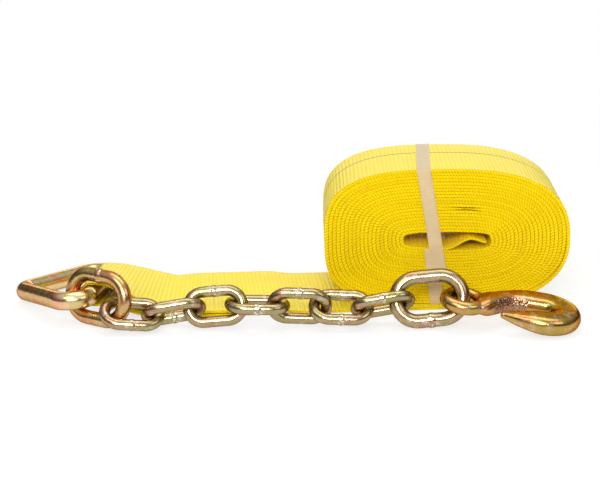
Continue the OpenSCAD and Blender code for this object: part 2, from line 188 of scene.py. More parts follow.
class Layout:
    """Where each piece lies, worked out from the sizes as the solids are."""

    gap = 0.35 * MM
    slack = 0.65 * MM
    # how far the ring's base lies towards the viewer, and the ring's clearance over the floor
    ring_y, ring_clear = -40 * MM, 0.4 * MM
    # where on a bend the next piece bears, in degrees, and how far it hangs clear of the bar
    ring_turn, ring_slack_in, ring_slack_up = 25, 1.8 * MM, 2.05 * MM
    first_turn, first_side, first_slack = -48, 50, 2.5 * MM
    hook_turn, hook_slack = -16, 1.4 * MM

    def __init__(self, scene):
        w, h = scene.strap_webbing, scene.strap_hardware
        self.w, self.h = w, h
        ring = turned(RING_POSE)
        apex = h.ring_height - h.ring_bend
        up = Vector((0, 0, 1)) @ ring
        corners = (Vector((-h.ring_bend, h.ring_base / 2, 0)), Vector((-h.ring_bend, -h.ring_base / 2, 0)),
                   Vector((-apex, 0, 0)))
        drop = max(-(up @ c) for c in corners) + h.ring_bend * math.hypot(up.x, up.y)
        self.ring_at = Vector((-w.tail - w.sewn, self.ring_y, drop + h.ring_bar / 2 + self.ring_clear))
        self.bar_dir = ring @ Vector((0, 1, 0))
        turn = math.radians(self.ring_turn)
        bend = self.ring_at + ring @ Vector((-h.ring_bend + h.ring_bend * math.cos(turn),
                                             -h.ring_base / 2 - h.ring_bend * math.sin(turn), 0))
        inward = h.coupling_length / 2 - h.ring_bar / 2 - self.ring_slack_in
        upward = h.coupling_width / 2 - h.ring_bar / 2 - self.ring_slack_up
        self.coupling_a_at = bend + along(COUPLING_A_POSE) * inward + across(COUPLING_A_POSE) * upward
        self.links_at = self.chain_places()
        self.hook_at = self.hook_place()

    def bearing(self, at, pose, turn, bar, slack):
        """Where a bar bears inside the crown of a coupling link."""
        h = self.h
        turn = math.radians(turn)
        crown = at + along(pose) * (h.coupling_length - h.coupling_width) / 2
        out = math.cos(turn) * along(pose) + math.sin(turn) * across(pose)
        return crown + ((h.coupling_width - bar) / 2 - self.gap - slack) * out

    def chain_places(self):
        h = self.h
        bar = self.bearing(self.coupling_a_at, COUPLING_A_POSE, self.first_turn, h.chain_wire,
                           self.first_slack)
        side = math.radians(self.first_side)
        first = LINK_POSES[0]
        back = -math.cos(side) * along(first) + math.sin(side) * across(first)
        at = (bar - (h.chain_width + h.chain_wire) / 2 * back
              + along(first) * (h.chain_length - h.chain_width) / 2)
        places = [at]
        poses = LINK_POSES + (COUPLING_B_POSE,)
        for k in range(1, len(poses)):
            last = k == len(poses) - 1
            wire = h.coupling_bar if last else h.chain_wire
            half = (h.coupling_length + h.coupling_bar if last else h.chain_length + h.chain_wire) / 2
            here, there = along(poses[k - 1]), along(poses[k])
            at = (at + here * (h.chain_length + h.chain_wire) / 2
                  - ((h.chain_wire + wire) / 2 + self.gap + self.slack) * (here + there).normalized()
                  + there * half)
            places.append(at)
        return places

    def hook_place(self):
        h = self.h
        bar = self.bearing(self.links_at[-1], COUPLING_B_POSE, self.hook_turn, h.hook_eye_bar,
                           self.hook_slack)
        return bar + eye_radius(h) * along(HOOK_POSE)


# modelling helpers

def clear_selection():
    if bpy.context.object and bpy.context.object.mode != "OBJECT":
        bpy.ops.object.mode_set(mode="OBJECT")
    bpy.ops.object.select_all(action="DESELECT")


def make_active(obj):
    clear_selection()
    obj.select_set(True)
    bpy.context.view_layer.objects.active = obj


def apply_modifiers(obj):
    make_active(obj)
    for modifier in list(obj.modifiers):
        bpy.ops.object.modifier_apply(modifier=modifier.name)


def lay(obj, at, pose):
    """Puts a piece modelled at the origin where it lies, with its place in its mesh."""
    obj.matrix_world = Matrix.Translation(at) @ turned(pose).to_4x4()
    make_active(obj)
    bpy.ops.object.transform_apply(location=True, rotation=True, scale=True)


def hand_over(obj, body, slot, material, *nodes):
    """Gives a finished piece its finish, its body and the solids that it stands for."""
    obj.data.materials.clear()
    obj.data.materials.append(material)
    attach(obj, body)
    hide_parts(*nodes)


def start_bar(name, radius, sides, at, normal):
    """Begins a bar as a circle in edit mode, square to the way that it will be drawn."""
    clear_selection()
    turn = Vector((0, 0, 1)).rotation_difference(normal).to_euler()
    bpy.ops.mesh.primitive_circle_add(vertices=sides, radius=radius, fill_type="NOTHING",
                                      location=at, rotation=turn)
    obj = bpy.context.object
    obj.name = obj.data.name = name
    bpy.ops.object.transform_apply(location=True, rotation=True, scale=True)
    bpy.ops.object.mode_set(mode="EDIT")
    bpy.ops.mesh.select_all(action="SELECT")
    return obj


def draw_bar(step, steps=1):
    for _ in range(steps):
        bpy.ops.mesh.extrude_region_move(TRANSFORM_OT_translate={"value": Vector(step) / steps})


def bend_bar(centre, axis, angle, steps):
    bpy.ops.mesh.spin(steps=steps, angle=-angle, center=centre, axis=axis)


def swell_bar(factor, centre):
    bpy.ops.transform.resize(value=(factor,) * 3, center_override=centre)


def close_bar(obj):
    bpy.ops.mesh.select_all(action="SELECT")
    bpy.ops.mesh.remove_doubles(threshold=0.02 * MM)
    bpy.ops.mesh.normals_make_consistent(inside=False)
    bpy.ops.object.mode_set(mode="OBJECT")
    make_active(obj)
    bpy.ops.object.shade_smooth()


# node helpers

class Graph:
    """A short way to place and join nodes."""

    def __init__(self, tree):
        self.tree = tree

    def add(self, kind, **settings):
        node = self.tree.nodes.new(kind)
        for key, value in settings.items():
            if key in node.inputs:
                node.inputs[key].default_value = value
            else:
                setattr(node, key, value)
        return node

    def join(self, a, b):
        self.tree.links.new(a, b)

    def math(self, operation, *values, clamp=False):
        node = self.add("ShaderNodeMath", operation=operation, use_clamp=clamp)
        for socket, value in zip(node.inputs, values):
            self.feed(socket, value)
        return node.outputs[0]

    def blend(self, factor, a, b, kind="MIX"):
        node = self.add("ShaderNodeMix", data_type="RGBA", blend_type=kind)
        for socket, value in ((node.inputs[0], factor), (node.inputs[6], a), (node.inputs[7], b)):
            self.feed(socket, value)
        return node.outputs[2]

    def between(self, factor, a, b):
        node = self.add("ShaderNodeMix")
        for socket, value in ((node.inputs[0], factor), (node.inputs[2], a), (node.inputs[3], b)):
            self.feed(socket, value)
        return node.outputs[0]

    def feed(self, socket, value):
        if isinstance(value, bpy.types.NodeSocket):
            self.join(value, socket)
        elif hasattr(value, "__len__") and len(value) == 3:
            socket.default_value = (*value, 1.0)
        else:
            socket.default_value = value

    def object_place(self):
        return self.add("ShaderNodeTexCoord").outputs["Object"]

    def attribute(self, name):
        return self.add("ShaderNodeAttribute", attribute_name=name).outputs["Fac"]

    def uv_axes(self, layer):
        split = self.add("ShaderNodeSeparateXYZ")
        self.join(self.add("ShaderNodeUVMap", uv_map=layer).outputs["UV"], split.inputs[0])
        return split.outputs["X"], split.outputs["Y"]

    def noise(self, place, scale, detail):
        node = self.add("ShaderNodeTexNoise", Scale=scale, Detail=detail)
        self.join(place, node.inputs["Vector"])
        return node.outputs["Fac"]

    def wave(self, value, spacing):
        return self.math("SINE", self.math("MULTIPLY", value, 2 * math.pi / spacing))

    def rescale(self, value, low, high, top, bottom=0.0):
        """Takes low and high to bottom and top, and holds the value there beyond them."""
        node = self.add("ShaderNodeMapRange", **{"From Min": low, "From Max": high,
                                                 "To Min": bottom, "To Max": top})
        self.join(value, node.inputs["Value"])
        return node.outputs[0]

    def ramp(self, value, low, middle, high):
        """Colours along a value, each given as a place and a colour."""
        node = self.add("ShaderNodeValToRGB")
        stops = node.color_ramp.elements
        for stop, (place, colour) in zip((stops[0], stops[1]), (low, high)):
            stop.position, stop.color = place, (*colour, 1)
        stops.new(middle[0]).color = (*middle[1], 1)
        self.join(value, node.inputs["Fac"])
        return node.outputs["Color"]

    def bump(self, height, strength, distance, normal=None):
        node = self.add("ShaderNodeBump", Distance=distance)
        self.feed(node.inputs["Strength"], strength)
        self.join(height, node.inputs["Height"])
        if normal is not None:
            self.join(normal, node.inputs["Normal"])
        return node.outputs["Normal"]


def new_material(name):
    material = bpy.data.materials.new(name)
    material.use_nodes = True
    graph = Graph(material.node_tree)
    return material, graph, material.node_tree.nodes["Principled BSDF"]


def plating_group():
    """Passivated zinc: slow drifts of pink and olive in the film, pale rubbed spots and fine grain."""
    name = "zinc_film"
    if name in bpy.data.node_groups:
        return bpy.data.node_groups[name]
    tree = bpy.data.node_groups.new(name, "ShaderNodeTree")
    for socket, way, kind in (("Colour", "INPUT", "Color"), ("Drift", "INPUT", "Float"),
                              ("Weld", "INPUT", "Float"), ("Colour", "OUTPUT", "Color"),
                              ("Roughness", "OUTPUT", "Float"), ("Height", "OUTPUT", "Float")):
        tree.interface.new_socket(socket, in_out=way, socket_type="NodeSocket" + kind)
    graph = Graph(tree)
    given = graph.add("NodeGroupInput").outputs
    made = graph.add("NodeGroupOutput").inputs
    place = graph.object_place()
    drift = graph.noise(place, 60.0, 2.0)
    grain = graph.noise(place, 900.0, 2.0)
    patch = graph.noise(place, 170.0, 3.0)
    crust = graph.noise(place, 420.0, 3.0)
    film = graph.ramp(drift, (0.38, (1.00, 0.68, 0.64)), (0.5, (1.0, 0.96, 0.90)),
                      (0.62, (0.76, 0.88, 0.50)))
    colour = graph.blend(given["Drift"], given["Colour"], film, "MULTIPLY")
    rubbed = graph.rescale(patch, 0.56, 0.72, 0.45)
    colour = graph.blend(rubbed, colour, (0.80, 0.74, 0.62))
    # pale flecks on the rough weld: its crust, with painted glints
    fleck_and_glint = graph.math("GREATER_THAN", crust, 0.56)
    colour = graph.blend(graph.math("MULTIPLY", fleck_and_glint, given["Weld"]), colour, (0.74, 0.68, 0.56))
    bead = graph.math("MULTIPLY", graph.math("MULTIPLY", crust, 9.0), given["Weld"])
    graph.join(colour, made["Colour"])
    graph.join(graph.math("MULTIPLY_ADD", patch, 0.28, 0.11), made["Roughness"])
    graph.join(graph.math("ADD", grain, bead), made["Height"])
    return tree


def plated_steel(name, colour, drift, grain=0.05):
    """Yellow zinc on steel, darker where it is seen along its surface."""
    if name in bpy.data.materials:
        return bpy.data.materials[name]
    material, graph, shader = new_material(name)
    film = graph.add("ShaderNodeGroup", node_tree=plating_group(), Colour=(*colour, 1), Drift=drift)
    graph.join(graph.attribute("weld"), film.inputs["Weld"])
    graph.join(film.outputs["Colour"], shader.inputs["Base Color"])
    graph.join(film.outputs["Roughness"], shader.inputs["Roughness"])
    graph.join(graph.bump(film.outputs["Height"], grain, 0.6 * MM), shader.inputs["Normal"])
    shader.inputs["Metallic"].default_value = 1.0
    shader.inputs["Specular Tint"].default_value = (0.42, 0.32, 0.20, 1)
    return material


def forged_plating(h):
    """Yellow zinc on the hook, with pitting on one patch that is coloured as a painted dark reflection."""
    material = plated_steel("hook_plating", h.amber, 0.9, 0.08)
    graph = Graph(material.node_tree)
    shader = material.node_tree.nodes["Principled BSDF"]
    film = shader.inputs["Base Color"].links[0].from_socket
    fine = shader.inputs["Normal"].links[0].from_socket
    patch = graph.math("MULTIPLY", graph.attribute("rough_shaded_face"), 0.8)
    scale = graph.add("ShaderNodeTexVoronoi", Scale=520.0)
    graph.join(graph.object_place(), scale.inputs["Vector"])
    pits = scale.outputs["Distance"]
    # painted dark reflection: the patch runs from dark brown to pinkish brown, for the dark that this
    # flank mirrors
    dark = graph.blend(pits, (0.24, 0.10, 0.07), (0.66, 0.38, 0.28))
    graph.join(graph.blend(patch, film, dark), shader.inputs["Base Color"])
    graph.join(graph.bump(pits, patch, 1 * MM, fine), shader.inputs["Normal"])
    return material


def webbing_cloth(w):
    """Ribbed polyester webbing, with twisted edge yarns and one dark tracer yarn on its outer face."""
    material, graph, shader = new_material("ribbed_webbing")
    run, side = graph.uv_axes("weave")
    edge, outer, depth = (graph.attribute(name) for name in ("edge", "outer", "depth"))
    rib = graph.wave(run, w.rib)
    slant = graph.math("MULTIPLY_ADD", run, 2 * math.pi / w.twist, graph.math("MULTIPLY", depth, 1.9))
    twist = graph.math("MULTIPLY_ADD", graph.math("SINE", slant), 0.5, 0.5)

    # the ribbed faces, with painted light: paler where they lie inwards in the roll, so that the inside of
    # the slit shows lit
    rib_tone = graph.math("MULTIPLY_ADD", rib, 0.5, 0.5)
    on_face = graph.math("GREATER_THAN", outer, 0.5)
    in_roll = graph.math("GREATER_THAN", run, ROLL_FROM)
    lit_in_roll = graph.math("MULTIPLY", graph.math("SUBTRACT", 1.0, on_face), in_roll)
    face = graph.blend(lit_in_roll, graph.blend(rib_tone, w.face_low, w.face),
                       graph.blend(rib_tone, w.inner_lit_low, w.inner))

    # the twisted edges, with painted shade where one turn beds on the next, and each stretch in its own
    # tone
    turn = graph.add("ShaderNodeTexNoise", noise_dimensions="1D", Scale=8.0, Detail=1.0)
    graph.join(run, turn.inputs["W"])
    worn = graph.rescale(turn.outputs["Fac"], 0.35, 0.7, 0.24)
    # painted shade: the edges darken towards the seam colour where the turns meet
    gap_shade = graph.rescale(graph.math("ABSOLUTE", depth), 0.4, 0.85, 0.32)
    rope = graph.blend(twist, w.edge_low, w.edge)
    rope = graph.blend(graph.math("MAXIMUM", gap_shade, worn), rope, w.seam)

    # the tracer yarn and a little soil over both
    colour = graph.blend(edge, face, rope)
    off_line = graph.math("ABSOLUTE", graph.math("SUBTRACT", side, TRACER_PLACE))
    line = graph.math("MULTIPLY", graph.math("LESS_THAN", off_line, TRACER_HALF), on_face)
    colour = graph.blend(graph.math("MULTIPLY", line, 0.85), colour, w.tracer)
    soil = graph.rescale(graph.noise(graph.object_place(), 15.0, 4.0), 0.62, 0.82, 0.12)
    colour = graph.blend(soil, colour, (0.10, 0.09, 0.05))

    yarn = graph.wave(side, YARN / w.width)
    weave = graph.math("MULTIPLY_ADD", rib, 0.45, graph.math("MULTIPLY", yarn, 0.12))
    height = graph.between(edge, weave, graph.math("MULTIPLY", twist, 0.9))
    graph.join(colour, shader.inputs["Base Color"])
    graph.join(graph.bump(height, 0.6, 0.7 * MM), shader.inputs["Normal"])
    graph.join(graph.math("MULTIPLY_ADD", edge, -0.25, 0.29), shader.inputs["Specular IOR Level"])
    shader.inputs["Roughness"].default_value = 0.5
    return material


def band_plastic(w):
    """Thin, cloudy strapping with fine cross ridges, through which the webbing shows a little."""
    material, graph, shader = new_material("strapping_band")
    run, _ = graph.uv_axes("strip")
    ridge = graph.wave(run, BAND_RIDGE)
    cloud = graph.noise(graph.object_place(), 90.0, 3.0)
    tone = graph.math("MULTIPLY_ADD", ridge, 0.14, 0.10)
    tone = graph.math("ADD", tone, graph.math("MULTIPLY", cloud, 0.7), clamp=True)
    dark, light = (tuple(min(1, share * c) for c in w.band) for share in (0.82, 1.08))
    graph.join(graph.blend(tone, dark, light), shader.inputs["Base Color"])
    graph.join(graph.bump(ridge, 0.25, 0.4 * MM), shader.inputs["Normal"])
    shader.inputs["Roughness"].default_value = 0.38
    shader.inputs["Alpha"].default_value = 0.74
    return material


# webbing

class StrapLine:
    """The ribbon's middle line, from the sewn eye's lower layer to the loose end in the roll.

    Each station holds the point, the way across the ribbon, the reach to the near edge and to
    the far edge, and the half thickness.
    """

    # how far the foot of the roll stands out towards the viewer
    foot_drift = -9 * MM
    # how square the roll is, and what is added near each corner, given in degrees
    squareness = 2.55
    corners = ((225, 0.95), (315, -0.2), (135, 0.4))
    # stations to a turn, the first one in the roll, and the turns that it takes to leave the tail
    turn_steps, first_step, leave_turns = 96, 2, 0.3
    # the most that a turn fills out, to half its thickness
    fullest = 1.75 * MM
    # the one place where two turns part: which turn, over how much of it, and how far
    parting_at, parting_reach, parting = 12.465, 0.027, 0.85 * MM

    def __init__(self, layout):
        self.lay, self.w, self.h = layout, layout.w, layout.h
        w = self.w
        t, n = w.thickness, w.turns
        self.layer = t + 0.8 * MM
        self.core_a, self.core_b = (w.core_length + t) / 2, (w.core_height + t) / 2
        self.roll_a = ((w.roll_length - t) * n - self.core_a) / (2 * n - 1)
        self.roll_b = ((w.roll_height - t) * 2 * n - self.core_b) / (4 * n - 1)
        self.stations = self.eye() + self.tail() + self.roll() + self.leaf()

    # the roll
    def outer_turn(self, a):
        full = self.squareness
        for corner, more in self.corners:
            full += more * max(0, math.cos(a - math.radians(corner))) ** 2
        swell = (abs(math.cos(a)) ** full + abs(math.sin(a)) ** full) ** (-1 / full)
        return Vector((self.roll_a * math.cos(a), self.roll_b * math.sin(a))) * swell

    def inner_turn(self, a):
        q = math.cos(a)
        side = math.copysign(math.sin(math.pi / 2 * min(1, abs(q) / 0.82)), q)
        return Vector(((self.core_a - self.core_b) * side + self.core_b * q,
                       self.core_b * math.sin(a) - 2.5 * MM))

    def spiral(self, s):
        a = 2 * math.pi * s - math.pi / 2
        p = mix(self.outer_turn(a), self.inner_turn(a), s / self.w.turns)
        z = p.y + self.roll_b + self.w.thickness / 2 - 0.5 * MM * (1 - ease(s / 0.12))
        return Vector((p.x, max(z, self.w.thickness / 2)))

    def station(self, x, y, z, side=None, near=None, far=None, half=None):
        half_width = self.w.width / 2
        return (Vector((x, y, z)), side or Vector((0, 1, 0)), near or half_width, far or half_width,
                half or self.w.thickness / 2)

    def roll(self):
        w = self.w
        stations = []
        for i in range(self.first_step, w.turns * self.turn_steps + 1):
            s = i / self.turn_steps
            p = self.spiral(s)
            beside = s + 1 if s < w.turns - 1 else s - 1
            room = (p - self.spiral(beside)).length
            full = min(self.fullest, max(w.thickness / 2, room / 2 - 0.06 * MM))
            full -= self.parting * max(0.0, 1 - ((s - self.parting_at) / self.parting_reach) ** 2)
            left = ease(s / self.leave_turns)
            near, far = (w.width / 2 - 0.35 * MM * (1 + sway(s * pace, seed))
                         for pace, seed in ((2.1, 1.3), (2.6, 4.7)))
            stations.append(self.station(p.x, self.foot_drift * (1 - left), p.y, near=near, far=far,
                                         half=mix(w.thickness / 2, full, left)))
        return stations

    def leaf(self):
        """The loose end: it leaves the floor of the slit, arches under its roof and dips again."""
        steps, w = 48, self.w
        start = self.spiral(w.turns)
        reach = self.core_a * 0.92
        stations = []
        for i in range(1, steps + 1):
            t = i / steps
            rise = ease(t / 0.62) - 0.34 * ease((t - 0.62) / 0.38)
            stations.append(self.station(mix(start.x, reach, t), 0, start.y + 9.2 * MM * rise))
        return stations

    # the flat tail, which runs aslant from under the roll to the ring
    def aslant(self, x):
        return mix(self.foot_drift, self.lay.ring_at.y, max(0.0, x / self.lay.ring_at.x))

    def tail_side(self, x):
        """The way across the tail: square to its run, its far edge a little off the floor."""
        end = self.lay.ring_at
        slope = (end.y - self.foot_drift) / end.x * ease(-x / (60 * MM))
        cant = 0.05 * ease(-x / (90 * MM)) * ease((x + 290 * MM) / (80 * MM))
        return Vector((-slope, 1, cant)).normalized()

    def tail(self):
        """From the sewn layers, where it steps down to the floor, to the foot of the roll."""
        w = self.w
        step, steps = 26 * MM, 70
        left, right = -w.tail, self.spiral(self.first_step / self.turn_steps).x
        stations = []
        for i in range(1, steps):
            x = mix(left, right, i / steps)
            side = self.tail_side(x)
            z = w.thickness / 2 + self.layer * (1 - ease((x - left) / step)) + side.z * w.width / 2
            stations.append(self.station(x, self.aslant(x), z, side))
        return stations

    # the sewn eye: its lower layer, the turn round the ring's bar and its upper layer
    def eye(self):
        w, h = self.w, self.h
        bar, at = self.lay.bar_dir, self.lay.ring_at
        reach = h.ring_bar / 2 + 0.45 * MM + w.thickness / 2
        drawn_in = min(w.width / 2, h.ring_base / 2 - h.coupling_bar / 2 - 2 * MM)
        # how far from the bar each layer is level, down on the floor, closed and at full width
        level, down, closed, wide = 70 * MM, 50 * MM, 80 * MM, 60 * MM
        steps, turn_steps = 48, 28

        def side(a):
            far = self.tail_side(at.x + a)
            held = 1 - ease(a / w.sewn)
            flat = Vector((bar.x, bar.y, 0)) * held + Vector((far.x, far.y, 0)) * (1 - held)
            return Vector((flat.x, flat.y, bar.z * (1 - ease(a / level)) + far.z)).normalized()

        def lift(a):
            return abs(side(a).z) * w.width / 2

        spare = at.z - reach - w.thickness / 2 - lift(0)

        def low(a):
            return w.thickness / 2 + lift(a) + spare * (1 - ease(a / down))

        def high(a):
            arch = mix(self.layer + w.thickness / 2, at.z + reach, 1 - ease(a / closed))
            return max(low(a) + self.layer, arch)

        def near(a):
            return mix(drawn_in, w.width / 2, ease(a / wide))

        def place(a, z):
            return self.station(at.x + a, self.aslant(at.x + a), z, side(a), near(a))

        stations = []
        for i in range(steps):
            a = (w.sewn - 4 * MM) * (1 - i / steps)
            stations.append(place(a, low(a)))
        for i in range(turn_steps + 1):
            turn = math.pi * (1 - i / turn_steps)
            p = at + reach * Vector((-math.sin(turn), 0, math.cos(turn)))
            stations.append(self.station(p.x, p.y, p.z, bar, near(0)))
        for i in range(1, steps + 1):
            a = w.sewn * i / steps
            stations.append(place(a, high(a)))
        return stations

    def frames(self):
        """Tangent and normal at every station."""
        s = self.stations
        for i, (p, side, near, far, half) in enumerate(s):
            ahead = (s[min(i + 1, len(s) - 1)][0] - s[max(i - 1, 0)][0]).normalized()
            yield p, side, ahead.cross(side).normalized(), near, far, half


def ribbon_section(near, far, half):
    """The ribbon's outline: (across, depth, edge share), once round from the near edge."""
    inset = ((0.0, 0.80, 1.0), (0.10 * MM, 0.95, 1.0), (0.35 * MM, 1.0, 1.0), (2.4 * MM, 0.97, 0.0))
    middle = (-0.5, 0.0, 0.5)
    upper = [(-near + d, half * k, e) for d, k, e in inset]
    upper += [((near if m < 0 else far) * m, half * 0.97, 0.0) for m in middle]
    upper += [(far - d, half * k, e) for d, k, e in reversed(inset)]
    return upper + [(y, -k, e) for y, k, e in reversed(upper)]


def build_ribbon(line):
    """One closed mesh along the whole ribbon, with its weave coordinates."""
    verts, depth, edge, outer, weave, faces = [], [], [], [], [], []
    run, last = 0.0, None
    rows = 0
    for p, side, normal, near, far, half in line.frames():
        run += (p - last).length if last else 0.0
        last = p
        section = ribbon_section(near, far, half)
        for y, k, e in section:
            verts.append(p + side * y + normal * k)
            depth.append(k / half)
            edge.append(e)
            outer.append(1.0 if k < 0 else 0.0)
            weave.append((run, 0.5 + y / line.w.width))
        rows += 1
    m = len(section)
    for i in range(rows - 1):
        for k in range(m):
            a, b = i * m + k, i * m + (k + 1) % m
            faces.append((a, b, b + m, a + m))
    faces.append(tuple(range(m - 1, -1, -1)))
    faces.append(tuple((rows - 1) * m + k for k in range(m)))
    mesh = bpy.data.meshes.new("strap_webbing")
    mesh.from_pydata(verts, [], faces)
    for name, values in (("depth", depth), ("edge", edge), ("outer", outer)):
        mesh.attributes.new(name, "FLOAT", "POINT").data.foreach_set("value", values)
    layer = mesh.uv_layers.new(name="weave")
    for loop in mesh.loops:
        layer.data[loop.index].uv = weave[loop.vertex_index]
    obj = bpy.data.objects.new("strap_webbing", mesh)
    bpy.context.scene.collection.objects.link(obj)
    make_active(obj)
    bpy.ops.object.mode_set(mode="EDIT")
    bpy.ops.mesh.select_all(action="SELECT")
    bpy.ops.mesh.normals_make_consistent(inside=False)
    bpy.ops.object.mode_set(mode="OBJECT")
    bpy.ops.object.shade_smooth()
    return obj, run


class STRAP_OT_webbing(bpy.types.Operator):
    """Weave the strap: sewn eye, flat tail and roll in one ribbon"""
    bl_idname = "strap.webbing"
    bl_label = "Webbing"

    def execute(self, context):
        line = StrapLine(Layout(context.scene))
        obj, length = build_ribbon(line)
        hand_over(obj, "strap", "webbing", webbing_cloth(line.w), "strap_roll", "strap_tail", "strap_eye")
        return {"FINISHED"}


class STRAP_OT_band(bpy.types.Operator):
    """Wrap the strapping band round the roll, its two ends lapped low on the near face"""
    bl_idname = "strap.band"
    bl_label = "Strapping Band"

    def execute(self, context):
        w = context.scene.strap_webbing
        clear, lap, pieces = 0.35 * MM, 0.75 * MM, 12
        half, high, low = w.width / 2 + clear, w.roll_height + clear, 2.2 * MM
        over = half + lap
        corners = ((-5.3 * MM, -over, 33 * MM), (-9.5 * MM, -over, 57 * MM), (-11.2 * MM, -half, 67 * MM),
                   (-20.8 * MM, -half, high), (-15.5 * MM, half, high), (-8 * MM, half, low),
                   (-7.2 * MM, -half, low), (-13.2 * MM, -half, 52 * MM))
        rail = []
        for here, there in zip(corners, corners[1:]):
            rail += [Vector(here).lerp(Vector(there), k / pieces) for k in range(pieces)]
        rail.append(Vector(corners[-1]))
        obj = self.strip(context, rail, w.band_width)
        thick = obj.modifiers.new("thick", "SOLIDIFY")
        thick.thickness, thick.offset = 0.5 * MM, 0.0
        soft = obj.modifiers.new("soft", "BEVEL")
        soft.width, soft.segments = 0.2 * MM, 2
        apply_modifiers(obj)
        bpy.ops.object.shade_smooth_by_angle(angle=math.radians(35))
        hand_over(obj, "strap", "band", band_plastic(w), "roll_band")
        return {"FINISHED"}

    def strip(self, context, rail, width):
        """A flat strip along the rail, with its run and side as coordinates."""
        clear_selection()
        bpy.ops.mesh.primitive_plane_add(size=1, calc_uvs=False)
        obj = context.object
        obj.name = obj.data.name = "roll_band"
        bpy.ops.object.mode_set(mode="EDIT")
        bpy.ops.mesh.delete(type="VERT")
        form = bmesh.from_edit_mesh(obj.data)
        layer = form.loops.layers.uv.new("strip")
        reach = Vector((width / 2, 0, 0))
        rows = [(form.verts.new(p - reach), form.verts.new(p + reach)) for p in rail]
        run = 0.0
        for k, (here, there) in enumerate(zip(rows, rows[1:])):
            face = form.faces.new((here[0], here[1], there[1], there[0]))
            ahead = run + (rail[k + 1] - rail[k]).length
            for loop, place in zip(face.loops, ((run, 0), (run, 1), (ahead, 1), (ahead, 0))):
                loop[layer].uv = place
            run = ahead
        bmesh.update_edit_mesh(obj.data)
        bpy.ops.mesh.select_all(action="SELECT")
        bpy.ops.mesh.normals_make_consistent(inside=False)
        bpy.ops.object.mode_set(mode="OBJECT")
        return obj


class STRAP_OT_ring(bpy.types.Operator):
    """Bend the delta ring from one round bar"""
    bl_idname = "strap.ring"
    bl_label = "Delta Ring"

    def execute(self, context):
        layout = Layout(context.scene)
        h = layout.h
        apex = h.ring_height - h.ring_bend
        slope = math.atan2(h.ring_base / 2, apex - h.ring_bend)
        leg = math.hypot(h.ring_base / 2, apex - h.ring_bend)
        down = Vector((-math.cos(slope), -math.sin(slope), 0))
        back = Vector((math.cos(slope), -math.sin(slope), 0))
        obj = start_bar("delta_ring_bar", h.ring_bar / 2, 32, (0, -h.ring_base / 2, 0), Vector((0, 1, 0)))
        draw_bar((0, h.ring_base, 0), 12)
        bend_bar((-h.ring_bend, h.ring_base / 2, 0), (0, 0, 1), math.pi / 2 + slope, 20)
        draw_bar(down * leg, 8)
        bend_bar((-apex, 0, 0), (0, 0, 1), math.pi - 2 * slope, 14)
        draw_bar(back * leg, 8)
        bend_bar((-h.ring_bend, -h.ring_base / 2, 0), (0, 0, 1), math.pi / 2 + slope, 20)
        close_bar(obj)
        lay(obj, layout.ring_at, RING_POSE)
        hand_over(obj, "delta_ring", "zinc_gold", plated_steel("rose_plating", h.rose, 0.8), "delta_ring")
        return {"FINISHED"}


def draw_bead(centre, places):
    """Draws a bar along X through places, each an x and the growth of the section there."""
    for x, growth in places:
        there = Vector((x, centre.y, 0))
        draw_bar(there - centre)
        swell_bar(growth, there)
        centre = there
    return centre


def wire_link(name, length, width, wire):
    """One welded link, drawn from the middle of its weld, on the +Y leg, round to its start."""
    arc, leg = (width + wire) / 2, length - width
    bead = wire * 0.16
    centre = Vector((0, arc, 0))
    obj = start_bar(name, wire / 2, 28, centre, Vector((1, 0, 0)))
    swell_bar(1.07, centre)
    centre = draw_bead(centre, [(bead * reach, growth) for reach, growth in WELD_OUT])
    draw_bar(Vector((leg / 2, arc, 0)) - centre, 2)
    bend_bar((leg / 2, 0, 0), (0, 0, -1), math.pi, 22)
    draw_bar((-leg, 0, 0), 6)
    bend_bar((-leg / 2, 0, 0), (0, 0, -1), math.pi, 22)
    draw_bar((leg / 2 - bead * WELD_END, 0, 0), 2)
    draw_bead(Vector((-bead * WELD_END, arc, 0)), [(-bead * reach, growth) for reach, growth in WELD_BACK])
    close_bar(obj)
    values = []
    for vert in obj.data.vertices:
        values.append(ease(1.5 - abs(vert.co.x) / (wire * 0.4)) if vert.co.y > 0 else 0.0)
    obj.data.attributes.new("weld", "FLOAT", "POINT").data.foreach_set("value", values)
    return obj


def copy_link(pattern, name, at, pose, weld_side):
    """A copy with its own mesh, laid in its place; turning it over puts the weld on the other leg."""
    make_active(pattern)
    bpy.ops.object.duplicate(linked=False)
    obj = bpy.context.object
    obj.name = obj.data.name = name
    yaw, pitch, roll = pose
    lay(obj, at, (yaw, pitch, roll if weld_side > 0 else roll + 180))
    return obj


class STRAP_OT_couplings(bpy.types.Operator):
    """Bend and weld the two large coupling links"""
    bl_idname = "strap.couplings"
    bl_label = "Coupling Links"

    def execute(self, context):
        layout = Layout(context.scene)
        h = layout.h
        gold, pale = plated_steel("gold_plating", h.gold, 0.8), plated_steel("pale_plating", h.pale, 0.65)
        pattern = wire_link("coupling_pattern", h.coupling_length, h.coupling_width, h.coupling_bar)
        for name, at, pose, side, slot, material in (
                ("coupling_link_left", layout.coupling_a_at, COUPLING_A_POSE, 1, "zinc_gold", gold),
                ("coupling_link_right", layout.links_at[-1], COUPLING_B_POSE, -1, "zinc_pale", pale)):
            obj = copy_link(pattern, name + "_bar", at, pose, side)
            hand_over(obj, name, slot, material, name)
        bpy.data.objects.remove(pattern)
        return {"FINISHED"}


